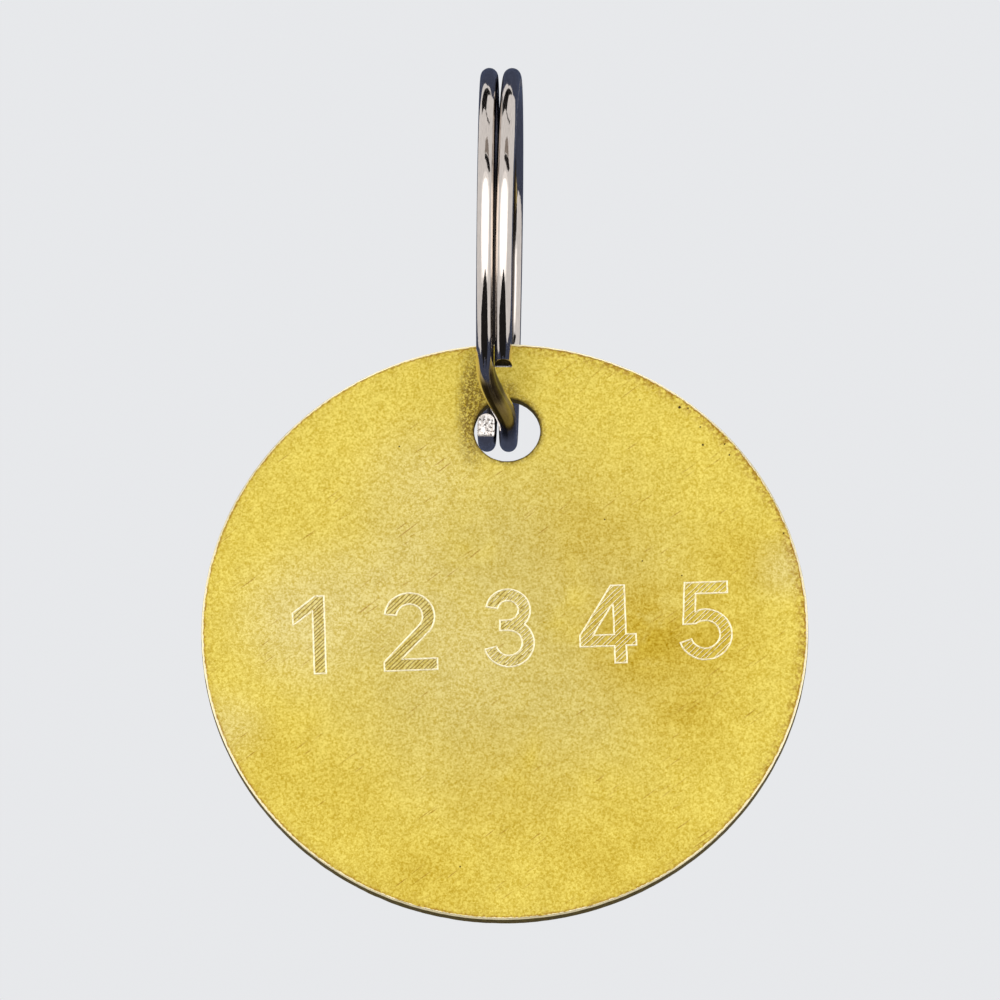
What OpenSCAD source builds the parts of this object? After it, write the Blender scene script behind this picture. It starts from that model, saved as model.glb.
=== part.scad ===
// Round pet tag: a sheet brass disc that hangs on a split ring of flattened wire.
//
// The origin is at the top of the split ring's inside, where it hangs on a collar.
// +Z is up and the marked face of the disc looks along -Y. The split ring stands
// edge on to the disc, so its own axis lies along X.

/* [Disc] */
// Diameter of the disc
disc_d = 32; // [24:0.5:40]
// Thickness of the sheet
disc_t = 0.8; // [0.6:0.1:1.6]
// Radius on the tumbled edges of the rim and of the hole
edge_r = 0.12; // [0.04:0.02:0.24]
// Diameter of the hole for the split ring
hole_d = 3.5; // [3.2:0.1:5]
// Metal between the hole and the rim
bridge_w = 3.05; // [1.5:0.05:4]

/* [Split ring] */
// Outside diameter of the split ring
ring_d = 20.4; // [16:0.2:28]
// Width of one turn of the wire, along the ring's axis
wire_w = 0.93; // [0.7:0.01:1.1]
// Height of the wire, from the ring's inside to its outside
wire_h = 1.5; // [1.3:0.05:1.8]
// Space between the two turns where they lie closed, at the front
turn_gap = 0.03; // [0.02:0.01:0.1]
// How much further apart the inner end holds the turns, low at the back
low_gap = 0.18; // [0:0.02:0.4]
// How much further apart the turns are where they stand off most, near the top
spread_gap = 0.3; // [0:0.02:0.5]
// Length of the slant that is ground on each end of the wire
bevel_len = 0.75; // [0.4:0.05:1.2]

/* [Fit of the wire in the hole] */
// Space between the wire and the side of the hole that it rests on
seat_gap = 0.06; // [0.05:0.01:0.15]
// Where it rests: the angle from the top of the hole towards its left
seat_deg = 66; // [0:1:70]

/* [Course of the wire, in degrees from the ring's top down its front] */
// Where the inner end lies, in the left lane, just inside the hole
inner_end_deg = 179; // [170:1:190]
// Where the middle of the wire leaves the left lane
jog_deg = 145; // [130:1:148]
// How far round it has reached the right lane
jog_span_deg = 29; // [24:1:34]
// How far before the jog the outer end stops, in the right lane
outer_end_deg = 0; // [0:0.1:6]
// Where the turns begin to stand further off, at the back
open_deg = 240; // [190:5:260]
// Where they stand off most
spread_deg = 340; // [280:5:350]
// Where they begin to close up again, near the top
closing_deg = 348; // [340:2:380]
// Where they are closed, at the front
closed_deg = 118; // [60:2:140]

/* [Hidden] */
$fn = 96;
brass = "#c9ac4b";
nickel = "#c4c2bc";
// Overrun of a cut past the face that it opens
overrun = 0.5;
// One whole turn
turn_deg = 360;
// Step from one section of the wire to the next, and the number of chords on each round side
step_deg = 6;
side_chords = 8;
// Number of sections along each bevel
bevel_steps = 3;
// How much of the wire's height the slant takes off at the outer and at the inner end
bevel_share = 0.35;
inner_bevel_share = 0.15;
// How near a section may come to a bevel, as a share of the step
near_share = 0.35;
// Distance to either side over which the wire's slant is measured
slant_deg = 1;

// The wire: its round sides, the flats between them, and the step from lane to lane
side_r = wire_w / 2;
flat_h = wire_h - wire_w;
lane_pitch = wire_w + turn_gap;
// The ring: radius of the wire's middle, and the height of the ring's centre
coil_r = (ring_d - wire_h) / 2;
ring_z = wire_h - ring_d / 2;

// The wire's inner round side lies along this radius. It climbs by wire_rise
// between the middle of the sheet and its faces.
inner_line_r = coil_r - flat_h / 2;
wire_rise = inner_line_r - sqrt(pow(inner_line_r, 2) - pow(disc_t / 2, 2));
// The hole hangs on the left lane's inner side, at seat_deg
hole_r = hole_d / 2;
seat_r = hole_r - seat_gap - side_r;
hole_x = seat_r * sin(seat_deg) - lane_pitch / 2;
hole_z = ring_z - inner_line_r + wire_rise - seat_r * cos(seat_deg);
disc_z = hole_z - disc_d / 2 + bridge_w + hole_r;

// Angles of the wire's two ends and of its sections, counted on through both turns
end_deg = jog_deg + 2 * turn_deg - outer_end_deg;
bevel_deg = bevel_len / coil_r * 180 / PI;
first_step = ceil((inner_end_deg + bevel_deg) / step_deg + near_share);
last_step = floor((end_deg - bevel_deg) / step_deg - near_share);
section_degs = concat(
    [for (i = [0 : bevel_steps]) inner_end_deg + bevel_deg * i / bevel_steps],
    [for (i = [first_step : last_step]) step_deg * i],
    [for (i = [0 : bevel_steps]) end_deg - bevel_deg * (1 - i / bevel_steps)]
);

// Rises from 0 to 1 with level ends
function smooth(t) = t <= 0 ? 0 : t >= 1 ? 1 : t * t * (3 - 2 * t);

// Place of the wire along the ring's axis: in the left lane, then over the jog into
// the right lane, which stands off at the back and closes up towards the outer end
function lane_x(deg) =
    let (
        past_deg = deg - turn_deg,
        over = smooth((past_deg - jog_deg) / jog_span_deg),
        opened = smooth((past_deg - open_deg) / (spread_deg - open_deg)),
        closed = smooth((past_deg - closing_deg) / (turn_deg + closed_deg - closing_deg))
    )
    (lane_pitch + low_gap) * over + (spread_gap - low_gap) * opened
        - spread_gap * closed - lane_pitch / 2;

// How much wider the wire measures along the ring's axis where it runs aslant
function slant(deg) =
    let (run = coil_r * 2 * slant_deg * PI / 180)
    norm([1, (lane_x(deg + slant_deg) - lane_x(deg - slant_deg)) / run]);

// Highest point that the bevels leave, above the wire's middle
function bevel_top(deg) =
    let (
        inner_cut = inner_bevel_share * (1 - (deg - inner_end_deg) / bevel_deg),
        outer_cut = bevel_share * (1 - (end_deg - deg) / bevel_deg)
    )
    wire_h / 2 - wire_h * max(inner_cut, outer_cut, 0);

// One section of the wire as [across, outward]: the outer round side, then the inner
function section(top) = [
    for (outer = [true, false], i = [0 : side_chords])
        let (
            deg = 180 * i / side_chords + (outer ? 0 : 180),
            rise = side_r * sin(deg) + (outer ? flat_h : -flat_h) / 2
        )
        [side_r * cos(deg), min(rise, top)]
];

// The section at an angle round the ring, in place
function placed(deg) = [
    for (p = section(bevel_top(deg)))
        let (r = coil_r + p[1])
        [lane_x(deg) + p[0] * slant(deg), -r * sin(deg), ring_z + r * cos(deg)]
];

// Smallest distance between the sections of one turn and those that lie beside them
function least_gap(rings) = min([
    for (i = [0 : len(rings) - 1], j = [i + 1 : len(rings) - 1])
        if (abs(section_degs[j] - section_degs[i] - turn_deg) < step_deg)
            min([for (p = rings[i], q = rings[j]) norm(p - q)])
]);

// Profile of the disc's rim: the sheet's edge with both corners rounded
module rim_profile() {
    core_r = disc_d / 2 - edge_r;
    translate([0, -disc_t / 2]) square([core_r, disc_t]);
    translate([0, edge_r - disc_t / 2]) square([disc_d / 2, disc_t - 2 * edge_r]);
    for (side = [-1, 1])
        translate([core_r, side * (disc_t / 2 - edge_r)]) circle(edge_r);
}

// Profile of the cut for the hole: a straight bore that flares out round both edges
module bore_profile() {
    translate([0, -disc_t / 2 - overrun]) square([hole_r, disc_t + 2 * overrun]);
    for (side = [-1, 1])
        difference() {
            translate([0, side > 0 ? disc_t / 2 - edge_r : -disc_t / 2])
                square([hole_r + edge_r, edge_r]);
            translate([hole_r + edge_r, side * (disc_t / 2 - edge_r)]) circle(edge_r);
        }
}

// Sheet brass disc, pierced near its top
module tag_disc() {
    color(brass)
        difference() {
            translate([hole_x, 0, disc_z]) rotate([90, 0, 0])
                rotate_extrude() rim_profile();
            translate([hole_x, 0, hole_z]) rotate([90, 0, 0])
                rotate_extrude() bore_profile();
        }
}

// Split ring: one unbroken wire that goes round almost twice and changes lanes once
module split_ring() {
    rings = [for (deg = section_degs) placed(deg)];
    around = len(rings[0]);
    last = len(rings) - 1;
    // Both end faces fan out from the middle of the inner round side
    hub = floor(around * 3 / 4);
    walls = [
        for (j = [0 : last - 1], i = [0 : around - 1])
            let (
                k = (i + 1) % around,
                a = j * around + i,
                b = j * around + k
            )
            each [[a, b, b + around], [a, b + around, a + around]]
    ];
    caps = [
        for (i = [1 : around - 2])
            let (p = (hub + i) % around, q = (hub + i + 1) % around)
            each [[hub, q, p], [last * around + hub, last * around + p, last * around + q]]
    ];
    echo(least_gap_between_turns = least_gap(rings));
    color(nickel)
        polyhedron(points = [for (ring = rings) each ring], faces = concat(walls, caps));
}

tag_disc();
split_ring();
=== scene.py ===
# A brass pet tag on its split ring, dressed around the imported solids. All sizes are in metres.
import math
import random
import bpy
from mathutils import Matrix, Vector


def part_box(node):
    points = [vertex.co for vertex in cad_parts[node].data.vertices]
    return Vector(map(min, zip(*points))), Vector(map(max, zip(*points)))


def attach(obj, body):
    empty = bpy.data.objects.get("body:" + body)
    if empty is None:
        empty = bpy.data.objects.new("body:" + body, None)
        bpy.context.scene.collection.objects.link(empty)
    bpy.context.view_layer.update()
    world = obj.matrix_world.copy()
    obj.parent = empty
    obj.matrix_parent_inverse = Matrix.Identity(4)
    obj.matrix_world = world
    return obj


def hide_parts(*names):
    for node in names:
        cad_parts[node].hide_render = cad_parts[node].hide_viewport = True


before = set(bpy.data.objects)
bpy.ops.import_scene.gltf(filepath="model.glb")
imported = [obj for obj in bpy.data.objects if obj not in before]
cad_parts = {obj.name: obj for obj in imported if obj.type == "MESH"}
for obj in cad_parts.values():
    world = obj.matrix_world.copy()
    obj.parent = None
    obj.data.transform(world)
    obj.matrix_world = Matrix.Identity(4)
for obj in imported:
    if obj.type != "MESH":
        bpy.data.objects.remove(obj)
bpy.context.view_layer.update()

from types import SimpleNamespace

import bpy
import numpy as np
from mathutils import Matrix, Vector, geometry, noise

MM = 0.001
rng = random.Random(41)

# Disc: the sizes that its solid has, taken from the frame or repeated from the part's source
disc_low, disc_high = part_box("tag_disc")
DISC_R = min(disc_high.x - disc_low.x, disc_high.z - disc_low.z) / 2
DISC_T = disc_high.y - disc_low.y
DISC_X = (disc_low.x + disc_high.x) / 2
DISC_Y = (disc_low.y + disc_high.y) / 2
DISC_Z = (disc_low.z + disc_high.z) / 2
EDGE_R = 0.12 * MM
HOLE_R = 1.75 * MM
BRIDGE_W = 3.05 * MM
HOLE_UP = DISC_R - BRIDGE_W - HOLE_R

# Split ring: the same course as the solid's
ring_low, ring_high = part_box("split_ring")
RING_D = ring_high.z - ring_low.z
RING_Z = (ring_low.z + ring_high.z) / 2
WIRE_W = 0.93 * MM
WIRE_H = 1.5 * MM
TURN_GAP = 0.03 * MM
LOW_GAP = 0.18 * MM
SPREAD_GAP = 0.3 * MM
BEVEL_LEN = 0.75 * MM
BEVEL_SHARE = 0.35
INNER_BEVEL_SHARE = 0.15
SIDE_R = WIRE_W / 2
FLAT_H = WIRE_H - WIRE_W
COIL_R = (RING_D - WIRE_H) / 2
LANE_PITCH = WIRE_W + TURN_GAP
TURN_DEG = 360
START_DEG = 179
END_DEG = 865
JOG_DEG = 145
JOG_SPAN_DEG = 29
OPEN_DEG = 240
SPREAD_DEG = 340
CLOSING_DEG = 348
CLOSED_DEG = 118
SLANT_DEG = 1.0
BEVEL_DEG = math.degrees(BEVEL_LEN / COIL_R)

# The photograph's camera: where it looks from, and the pixel where the disc's face has its centre
IMAGE_PX = 1000
SENSOR = 36.0
PX_PER_M = 18980
VIEW_AZ_DEG = 1.0
VIEW_EL_DEG = -18.95
VIEW_ROLL_DEG = 0.7
VIEW_DISTANCE = 0.9
FACE_CENTRE_PX = (504.7, 630.0)


def direction(az_deg, el_deg):
    """Unit vector from the object: azimuth 0 is the marked face's side, 90 is its right."""
    az, el = math.radians(az_deg), math.radians(el_deg)
    return Vector((math.sin(az) * math.cos(el), -math.cos(az) * math.cos(el), math.sin(el)))


def smooth(t):
    """Rises from 0 to 1 with level ends."""
    t = min(max(t, 0.0), 1.0)
    return t * t * (3 - 2 * t)


def link(name, data):
    """A new object in the scene that holds this mesh, lamp or camera."""
    item = bpy.data.objects.new(name, data)
    bpy.context.scene.collection.objects.link(item)
    return item


def add_piece(name, mesh, body, node, material, sharp_deg):
    """A piece that rides on a body, stands for a CAD node and has its finish from a slot."""
    mesh.validate()
    mesh.shade_smooth()
    mesh.set_sharp_from_angle(angle=math.radians(sharp_deg))
    mesh.materials.append(material)
    piece = link(name, mesh)
    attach(piece, body)
    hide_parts(node)
    return piece


# Node trees

class Graph:
    """Short calls that build a node tree. An input is a number, a tuple or another node's output."""

    def __init__(self, material):
        material.use_nodes = True
        self.tree = material.node_tree
        self.shader = self.tree.nodes["Principled BSDF"]

    def feed(self, socket, value):
        if isinstance(value, bpy.types.NodeSocket):
            self.tree.links.new(value, socket)
        else:
            socket.default_value = value

    def add(self, kind, inputs, **settings):
        node = self.tree.nodes.new(kind)
        for name, value in settings.items():
            setattr(node, name, value)
        for key, value in inputs.items():
            self.feed(node.inputs[key], value)
        return node

    def position(self):
        return self.add("ShaderNodeTexCoord", {}).outputs["Object"]

    def attribute(self, name):
        return self.add("ShaderNodeAttribute", {}, attribute_name=name).outputs["Fac"]

    def math(self, operation, a, b=0.0, c=0.0):
        return self.add("ShaderNodeMath", {0: a, 1: b, 2: c}, operation=operation).outputs[0]

    def times(self, a, b):
        return self.math("MULTIPLY", a, b)

    def plus(self, a, b):
        return self.math("ADD", a, b)

    def greater(self, a, b):
        return self.math("MAXIMUM", a, b)

    def vector(self, operation, a, b=(0, 0, 0)):
        node = self.add("ShaderNodeVectorMath", {0: a, 1: b}, operation=operation)
        return node.outputs["Value" if operation in ("LENGTH", "DOT_PRODUCT", "DISTANCE") else "Vector"]

    def joined(self, x, y):
        """A vector in the plane, from two numbers."""
        return self.add("ShaderNodeCombineXYZ", {0: x, 1: y}).outputs[0]

    def colour(self, red, green, blue):
        return self.add("ShaderNodeCombineColor", {0: red, 1: green, 2: blue}).outputs[0]

    def noise(self, position, size, detail=2.0, roughness=0.5, distortion=0.0):
        """Noise whose features are about size metres across, from 0 to 1."""
        inputs = {"Vector": position, "Scale": 1 / size, "Detail": detail,
                  "Roughness": roughness, "Distortion": distortion}
        return self.add("ShaderNodeTexNoise", inputs).outputs["Fac"]

    def rise(self, value, low, high, to_low=0.0, to_high=1.0):
        """Smooth step from to_low to to_high as value goes from low to high."""
        inputs = {"Value": value, "From Min": low, "From Max": high, "To Min": to_low, "To Max": to_high}
        node = self.add("ShaderNodeMapRange", inputs, interpolation_type="SMOOTHSTEP")
        return node.outputs["Result"]

    def mix(self, factor, a, b, blend="MIX"):
        node = self.tree.nodes.new("ShaderNodeMix")
        node.data_type = "RGBA"
        node.blend_type = blend
        self.feed(node.inputs["Factor"], factor)
        for name, value in (("A", a), ("B", b)):
            socket = next(s for s in node.inputs if s.name == name and s.type == "RGBA")
            self.feed(socket, value)
        return next(s for s in node.outputs if s.type == "RGBA")

    def bump(self, height, distance, strength=1.0):
        inputs = {"Height": height, "Distance": distance, "Strength": strength}
        return self.add("ShaderNodeBump", inputs).outputs["Normal"]

    def finish(self, **inputs):
        for name, value in inputs.items():
            self.feed(self.shader.inputs[name.replace("_", " ")], value)


# Brass, in linear colours
BRASS = (0.605, 0.470, 0.082, 1)
BRASS_DULL = (0.508, 0.402, 0.116, 1)
BRASS_PALE = (0.590, 0.480, 0.170, 1)
BRASS_GOLD = (0.480, 0.330, 0.030, 1)
BRASS_TARNISH = (0.270, 0.125, 0.015, 1)
# Stains, and the split ring's painted shadow
BRASS_STAIN_AND_SHADOW = (0.150, 0.088, 0.018, 1)
# Freshly cut and worn metal, painted near white as a highlight
BRASS_FRESH_HIGHLIGHT = (0.940, 0.850, 0.580, 1)
# Grime and painted shade in the hatching
BRASS_HATCH_DIRT_AND_SHADE = (0.180, 0.098, 0.016, 1)
# Painted shade on the sheared sides
BRASS_SIDE_SHADE = (0.105, 0.080, 0.028, 1)
PIT = (0.060, 0.035, 0.015, 1)

# Sizes of what shows in the brass, from broad clouds to the grain
CLOUD_SIZE = 7 * MM
SCRATCHED_SIZE = 2.6 * MM
BLOTCH_SIZE = 1.6 * MM
STREAK_SIZE = 0.45 * MM
DENT_SIZE = 0.4 * MM
RAG_SIZE = 0.22 * MM
SPECK_SIZE = 0.17 * MM
GRAIN_SIZE = 0.115 * MM
DUST_SIZE = 0.11 * MM
SCRATCH_SIZE = 0.10 * MM
BRASS_BUMP = 0.012 * MM
# The dull middle ends between these radii; the tarnish and the halo of dirt are this wide
DULL_FULL_R = 4 * MM
DULL_END_R = 14 * MM
TARNISH_W = 0.9 * MM
HALO_W = 0.28 * MM
# Scratches rise to the right; along them, and up the streaks, the pattern is this much stretched
SCRATCH_DEG = 38
STRETCH = 0.05
# How strongly the grain's shade shows in red, green and blue: a darker grain is a browner one
GRAIN_TINT = (0.75, 1.0, 2.2)

# Patches: across and up from the disc's centre and reach, in millimetres, and strength
GOLD_PATCHES = ((7.6, -0.4, 5.5, 0.95), (10.5, -0.5, 4.5, 0.8), (9.5, -4.5, 4.5, 0.6),
                (12.0, 4.0, 3.5, 0.5), (-11.8, -7.2, 4, 0.35), (-4.0, -14.0, 5, 0.5),
                (0.5, -9.5, 6, 0.35), (5.5, -12.5, 7, 0.4), (-8.5, -9.5, 5, 0.3), (4.5, 5.5, 5, 0.4))
PALE_PATCHES = ((-10.5, 0.5, 5.5, 1.0), (-6.0, 2.5, 5.0, 0.6), (-4.5, 8.5, 5.0, 0.5),
                (-2.0, -1.0, 5.0, 0.5), (14.6, 3.6, 2.6, 0.7), (-14.4, -5.5, 3.0, 0.6))
# Stains with the split ring's shadow painted in: across, up, half width and half height, in millimetres,
# and strength
STAINS_AND_RING_SHADOW = ((-1.8, 12.4, 1.15, 4.3, 0.85), (-0.1, 13.2, 1.0, 1.0, 0.6))


def brass_places(g):
    """Where a point lies on the disc, and the noises there that several layers share."""
    here = g.vector("SUBTRACT", g.position(), (DISC_X, DISC_Y, DISC_Z))
    flat = g.vector("MULTIPLY", here, (1, 0, 1))
    return SimpleNamespace(
        here=here,
        flat=flat,
        radius=g.vector("LENGTH", flat),
        depth=g.vector("DOT_PRODUCT", here, (0, -1, 0)),
        blotch=g.noise(here, BLOTCH_SIZE, 4, 0.6, 0.3),
        rag=g.noise(here, RAG_SIZE, 4, 0.65),
        specks=g.noise(here, SPECK_SIZE, 3, 0.7, 0.4),
        grain=g.noise(here, GRAIN_SIZE, 1, 0.5, 0.6))


def patch(g, at, across, up, reach, strength):
    """A round patch on the face, from its strength in the middle to nothing at its reach."""
    away = g.vector("DISTANCE", at.flat, (across * MM, 0, up * MM))
    return g.rise(away, 0.0, reach * MM, strength, 0.0)


def patched(g, at):
    """Brass with a duller middle, pale patches and golden ones, and how golden it is."""
    clouds = g.noise(at.here, CLOUD_SIZE, 3, 0.55, 0.6)
    dull = g.rise(at.radius, DULL_FULL_R, DULL_END_R, 0.9, 0.0)
    colour = g.mix(g.times(dull, g.rise(clouds, 0.2, 0.5)), BRASS, BRASS_DULL)
    for place in PALE_PATCHES:
        colour = g.mix(patch(g, at, *place), colour, BRASS_PALE)
    gold = 0.0
    for place in GOLD_PATCHES:
        gold = g.greater(patch(g, at, *place), gold)
    gold = g.times(gold, g.rise(at.blotch, 0.25, 0.55, 0.2, 1.0))
    return g.mix(gold, colour, BRASS_GOLD), gold


def tarnished(g, at, colour):
    """A ragged band of tarnish inside the rim, most of it at the upper right."""
    band = g.rise(at.radius, DISC_R - TARNISH_W, DISC_R - EDGE_R)
    corner = g.rise(g.vector("DOT_PRODUCT", at.flat, direction(90, 30)), 0.0, DISC_R, 0.20, 0.75)
    return g.mix(g.times(g.times(band, corner), g.rise(at.rag, 0.42, 0.60)), colour, BRASS_TARNISH)


def stained_and_shaded(g, at, colour):
    """Grime where the split ring rubs, with the ring's shadow painted in beside it and over the bridge, and
    grime round the hole.
    """
    dust = g.rise(g.noise(at.here, DUST_SIZE, 2, 0.6, 0.6), 0.38, 0.56, 0.1, 1.0)
    stain_and_shadow = 0.0
    for across, up, wide, high, strength in STAINS_AND_RING_SHADOW:
        off = g.vector("SUBTRACT", at.flat, (across * MM, 0, up * MM))
        away = g.vector("LENGTH", g.vector("MULTIPLY", off, (1 / (wide * MM), 0, 1 / (high * MM))))
        stain_and_shadow = g.greater(g.times(g.rise(away, 0.35, 1.0, strength, 0.0), dust), stain_and_shadow)
    off_hole = g.vector("DISTANCE", at.flat, (0, 0, HOLE_UP))
    halo = g.rise(off_hole, HOLE_R + EDGE_R, HOLE_R + EDGE_R + HALO_W, 0.6, 0.0)
    stain_and_shadow = g.greater(stain_and_shadow, g.times(halo, g.rise(at.specks, 0.35, 0.6, 0.3, 1.0)))
    return g.mix(stain_and_shadow, colour, BRASS_STAIN_AND_SHADOW)


def scratched(g, at, colour):
    """Faint scratches, in a few places."""
    along = g.vector("DOT_PRODUCT", at.flat, direction(90, SCRATCH_DEG))
    across = g.vector("DOT_PRODUCT", at.flat, direction(90, SCRATCH_DEG + 90))
    lines = g.noise(g.joined(g.times(along, STRETCH), across), SCRATCH_SIZE, 1, 0.5, 0.2)
    somewhere = g.rise(g.noise(at.here, SCRATCHED_SIZE, 1), 0.52, 0.62)
    return g.mix(g.times(g.rise(lines, 0.64, 0.74, 0.0, 0.65), somewhere), colour, BRASS_TARNISH)


def grained(g, at, colour, gold):
    """Grain, dark freckles and faint upright streaks."""
    streaks = g.noise(g.vector("MULTIPLY", at.here, (1, 0, STRETCH)), STREAK_SIZE, 2, 0.5)
    shade = g.plus(g.rise(at.grain, 0.22, 0.78, -0.25, 0.25), g.rise(streaks, 0.2, 0.8, -0.02, 0.02))
    shade = g.plus(shade, g.times(g.rise(at.blotch, 0.45, 0.7), g.rise(at.specks, 0.60, 0.72, 0.0, -0.22)))
    shade = g.plus(shade, g.times(gold, g.rise(at.specks, 0.46, 0.62, 0.0, -0.18)))
    tint = [g.math("MULTIPLY_ADD", shade, share, 1.0) for share in GRAIN_TINT]
    return g.mix(1.0, colour, g.colour(*tint), "MULTIPLY")


def edged(g, at, colour, front):
    """A dark line just inside the rim, and worn metal on the rounded corner, painted light as a highlight.
    """
    reach = g.plus(at.radius, g.rise(at.rag, 0.3, 0.7, -0.02 * MM, 0.03 * MM))
    line = g.rise(reach, DISC_R - 2.0 * EDGE_R, DISC_R - 1.4 * EDGE_R, 0.0, 0.7)
    colour = g.mix(g.times(line, g.rise(at.specks, 0.35, 0.60, 0.1, 1.0)), colour, BRASS_TARNISH)
    # The worn rounded corner is painted near white as a highlight
    worn = g.rise(reach, DISC_R - EDGE_R, DISC_R - 0.75 * EDGE_R, 0.0, 0.8)
    return g.mix(g.times(worn, front), colour, BRASS_FRESH_HIGHLIGHT)


def marked(g, at, colour):
    """Freshly cut metal in the engraving, painted light as a highlight, grime with painted shade in its
    hatching, and grime in the pits.
    """
    fresh_and_lit = g.times(g.attribute("cut"), g.rise(at.specks, 0.35, 0.55, 0.50, 1.0))
    # The engraving's freshly cut metal is painted near white as a highlight
    colour = g.mix(fresh_and_lit, colour, BRASS_FRESH_HIGHLIGHT)
    colour = g.mix(g.attribute("hatch"), colour, BRASS_HATCH_DIRT_AND_SHADE)
    return g.mix(g.attribute("pit"), colour, PIT)


def brass_material():
    material = bpy.data.materials.new("brass")
    g = Graph(material)
    at = brass_places(g)
    # 1 on the faces with their rounded corners, 0 on the sheared side of the rim and of the hole
    front = g.rise(g.math("ABSOLUTE", at.depth), DISC_T / 2 - EDGE_R, DISC_T / 2 - 0.5 * EDGE_R)
    side = g.math("SUBTRACT", 1.0, front)

    colour, gold = patched(g, at)
    colour = tarnished(g, at, colour)
    # Grime where the split ring rubs, with its shadow painted in
    colour = stained_and_shaded(g, at, colour)
    colour = scratched(g, at, colour)
    colour = grained(g, at, colour, gold)
    colour = edged(g, at, colour, front)
    colour = marked(g, at, colour)
    # The sheared side of the rim and of the hole is painted dark as shade
    colour = g.mix(g.times(side, g.rise(at.rag, 0.2, 0.7, 0.75, 1.0)), colour, BRASS_SIDE_SHADE)

    rough = g.plus(g.rise(at.blotch, 0.2, 0.8, 0.29, 0.40), g.times(side, 0.5))
    height = g.plus(g.times(at.grain, 0.5), g.noise(at.here, DENT_SIZE, 3, 0.5))
    g.finish(Base_Color=colour, Metallic=1.0, Roughness=rough, Normal=g.bump(height, BRASS_BUMP, 0.8))
    return material


# Nickel, in linear colours
NICKEL = (0.770, 0.690, 0.625, 1)
NICKEL_DULL = (0.600, 0.540, 0.460, 1)
NICKEL_CUT = (0.860, 0.820, 0.780, 1)
# Grime, and the wire's painted shade and painted dark reflection
GRIME_AND_SHADE = (0.020, 0.014, 0.012, 1)

# Sizes of what shows in the nickel: dull spots, ripples, torn metal and drawn lines
DULL_SIZE = 0.5 * MM
RIPPLE_SIZE = 0.6 * MM
TORN_SIZE = 0.13 * MM
DRAWN_SIZE = 0.03 * MM
NICKEL_BUMP = 0.004 * MM


def nickel_material():
    material = bpy.data.materials.new("nickel")
    g = Graph(material)
    here = g.position()
    cut, seam = g.attribute("cut"), g.attribute("seam")
    strand = g.joined(g.attribute("along"), g.attribute("around"))
    drawn = g.noise(g.vector("MULTIPLY", strand, (STRETCH, 1, 1)), DRAWN_SIZE, 3, 0.6)
    lines = g.rise(drawn, 0.3, 0.7, 0.83, 1.06)
    torn = g.rise(g.noise(here, TORN_SIZE, 3, 0.6), 0.52, 0.62, 0.0, 0.9)

    colour = g.mix(g.rise(g.noise(here, DULL_SIZE, 3, 0.6), 0.55, 0.8, 0.0, 0.25), NICKEL, NICKEL_DULL)
    colour = g.mix(1.0, colour, g.colour(lines, lines, lines), "MULTIPLY")
    colour = g.mix(cut, colour, NICKEL_CUT)
    colour = g.mix(g.times(cut, torn), colour, GRIME_AND_SHADE)
    # Grime between the turns, painted shade there, in the crook of the jog and inside the back half, and a
    # painted dark reflection on the outer end's bevel
    colour = g.mix(seam, colour, GRIME_AND_SHADE)

    rough = g.plus(g.rise(drawn, 0.3, 0.8, 0.04, 0.10), g.times(g.greater(cut, seam), 0.22))
    rough = g.plus(rough, g.times(g.attribute("flat"), 0.20))
    height = g.plus(g.times(drawn, 0.1), g.noise(strand, RIPPLE_SIZE, 2, 0.5))
    g.finish(Base_Color=colour, Metallic=1.0, Roughness=rough, Normal=g.bump(height, NICKEL_BUMP))
    return material


# Marking: plain numbers in outlined strokes, in millimetres from the middle of each number's foot
GLYPH_H = 4.3
STROKE_W = 0.62
ARC_STEP = 0.22


def arc(centre, radius, start_deg, end_deg):
    steps = max(2, round(abs(math.radians(end_deg - start_deg)) * radius / ARC_STEP))
    angles = [math.radians(start_deg + (end_deg - start_deg) * i / steps) for i in range(steps + 1)]
    return [(centre[0] + radius * math.cos(a), centre[1] + radius * math.sin(a)) for a in angles]


def one():
    stem, tip = 0.1, -0.95
    return [[(stem, 0), (stem + STROKE_W, 0), (stem + STROKE_W, GLYPH_H), (0.25, GLYPH_H),
             (tip, 3.4), (tip, 2.72), (stem, 3.5)]]


def two():
    bowl_r, half_w = 1.32, 1.4
    bowl = (0.0, GLYPH_H - bowl_r)
    foot = [(-0.5, STROKE_W), (half_w, STROKE_W), (half_w, 0), (-half_w, 0), (-half_w, 0.5)]
    return [arc(bowl, bowl_r, 172, -38) + foot + arc(bowl, bowl_r - STROKE_W, -38, 172)]


def three():
    top_r, low_r, bar_x = 1.17, 1.32, -0.45
    top, low = (0.0, GLYPH_H - top_r), (0.0, low_r)
    bar = [(bar_x, low[1] + low_r - STROKE_W), (bar_x, top[1] - top_r + STROKE_W)]
    # Where the two bowls' outer circles cross, at the waist
    apart = top[1] - low[1]
    drop = (top_r ** 2 - low_r ** 2 + apart ** 2) / (2 * apart)
    side = math.sqrt(top_r ** 2 - drop ** 2)
    top_deg = math.degrees(math.atan2(-drop, side))
    low_deg = math.degrees(math.atan2(apart - drop, side))
    return [arc(top, top_r, 168, top_deg) + arc(low, low_r, low_deg, -166)[1:]
            + arc(low, low_r - STROKE_W, -166, 90) + bar + arc(top, top_r - STROKE_W, -90, 168)]


def four():
    stem, right, left, bar = 0.35, 1.5, -1.45, 0.95
    stem_right, bar_top = stem + STROKE_W, bar + STROKE_W
    outside = [(stem, 0), (stem_right, 0), (stem_right, bar), (right, bar), (right, bar_top),
               (stem_right, bar_top), (stem_right, GLYPH_H), (stem - 0.1, GLYPH_H), (left, bar_top),
               (left, bar), (stem, bar)]
    return [outside, [(stem, bar_top), (-0.77, bar_top), (stem, 3.35)]]


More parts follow.
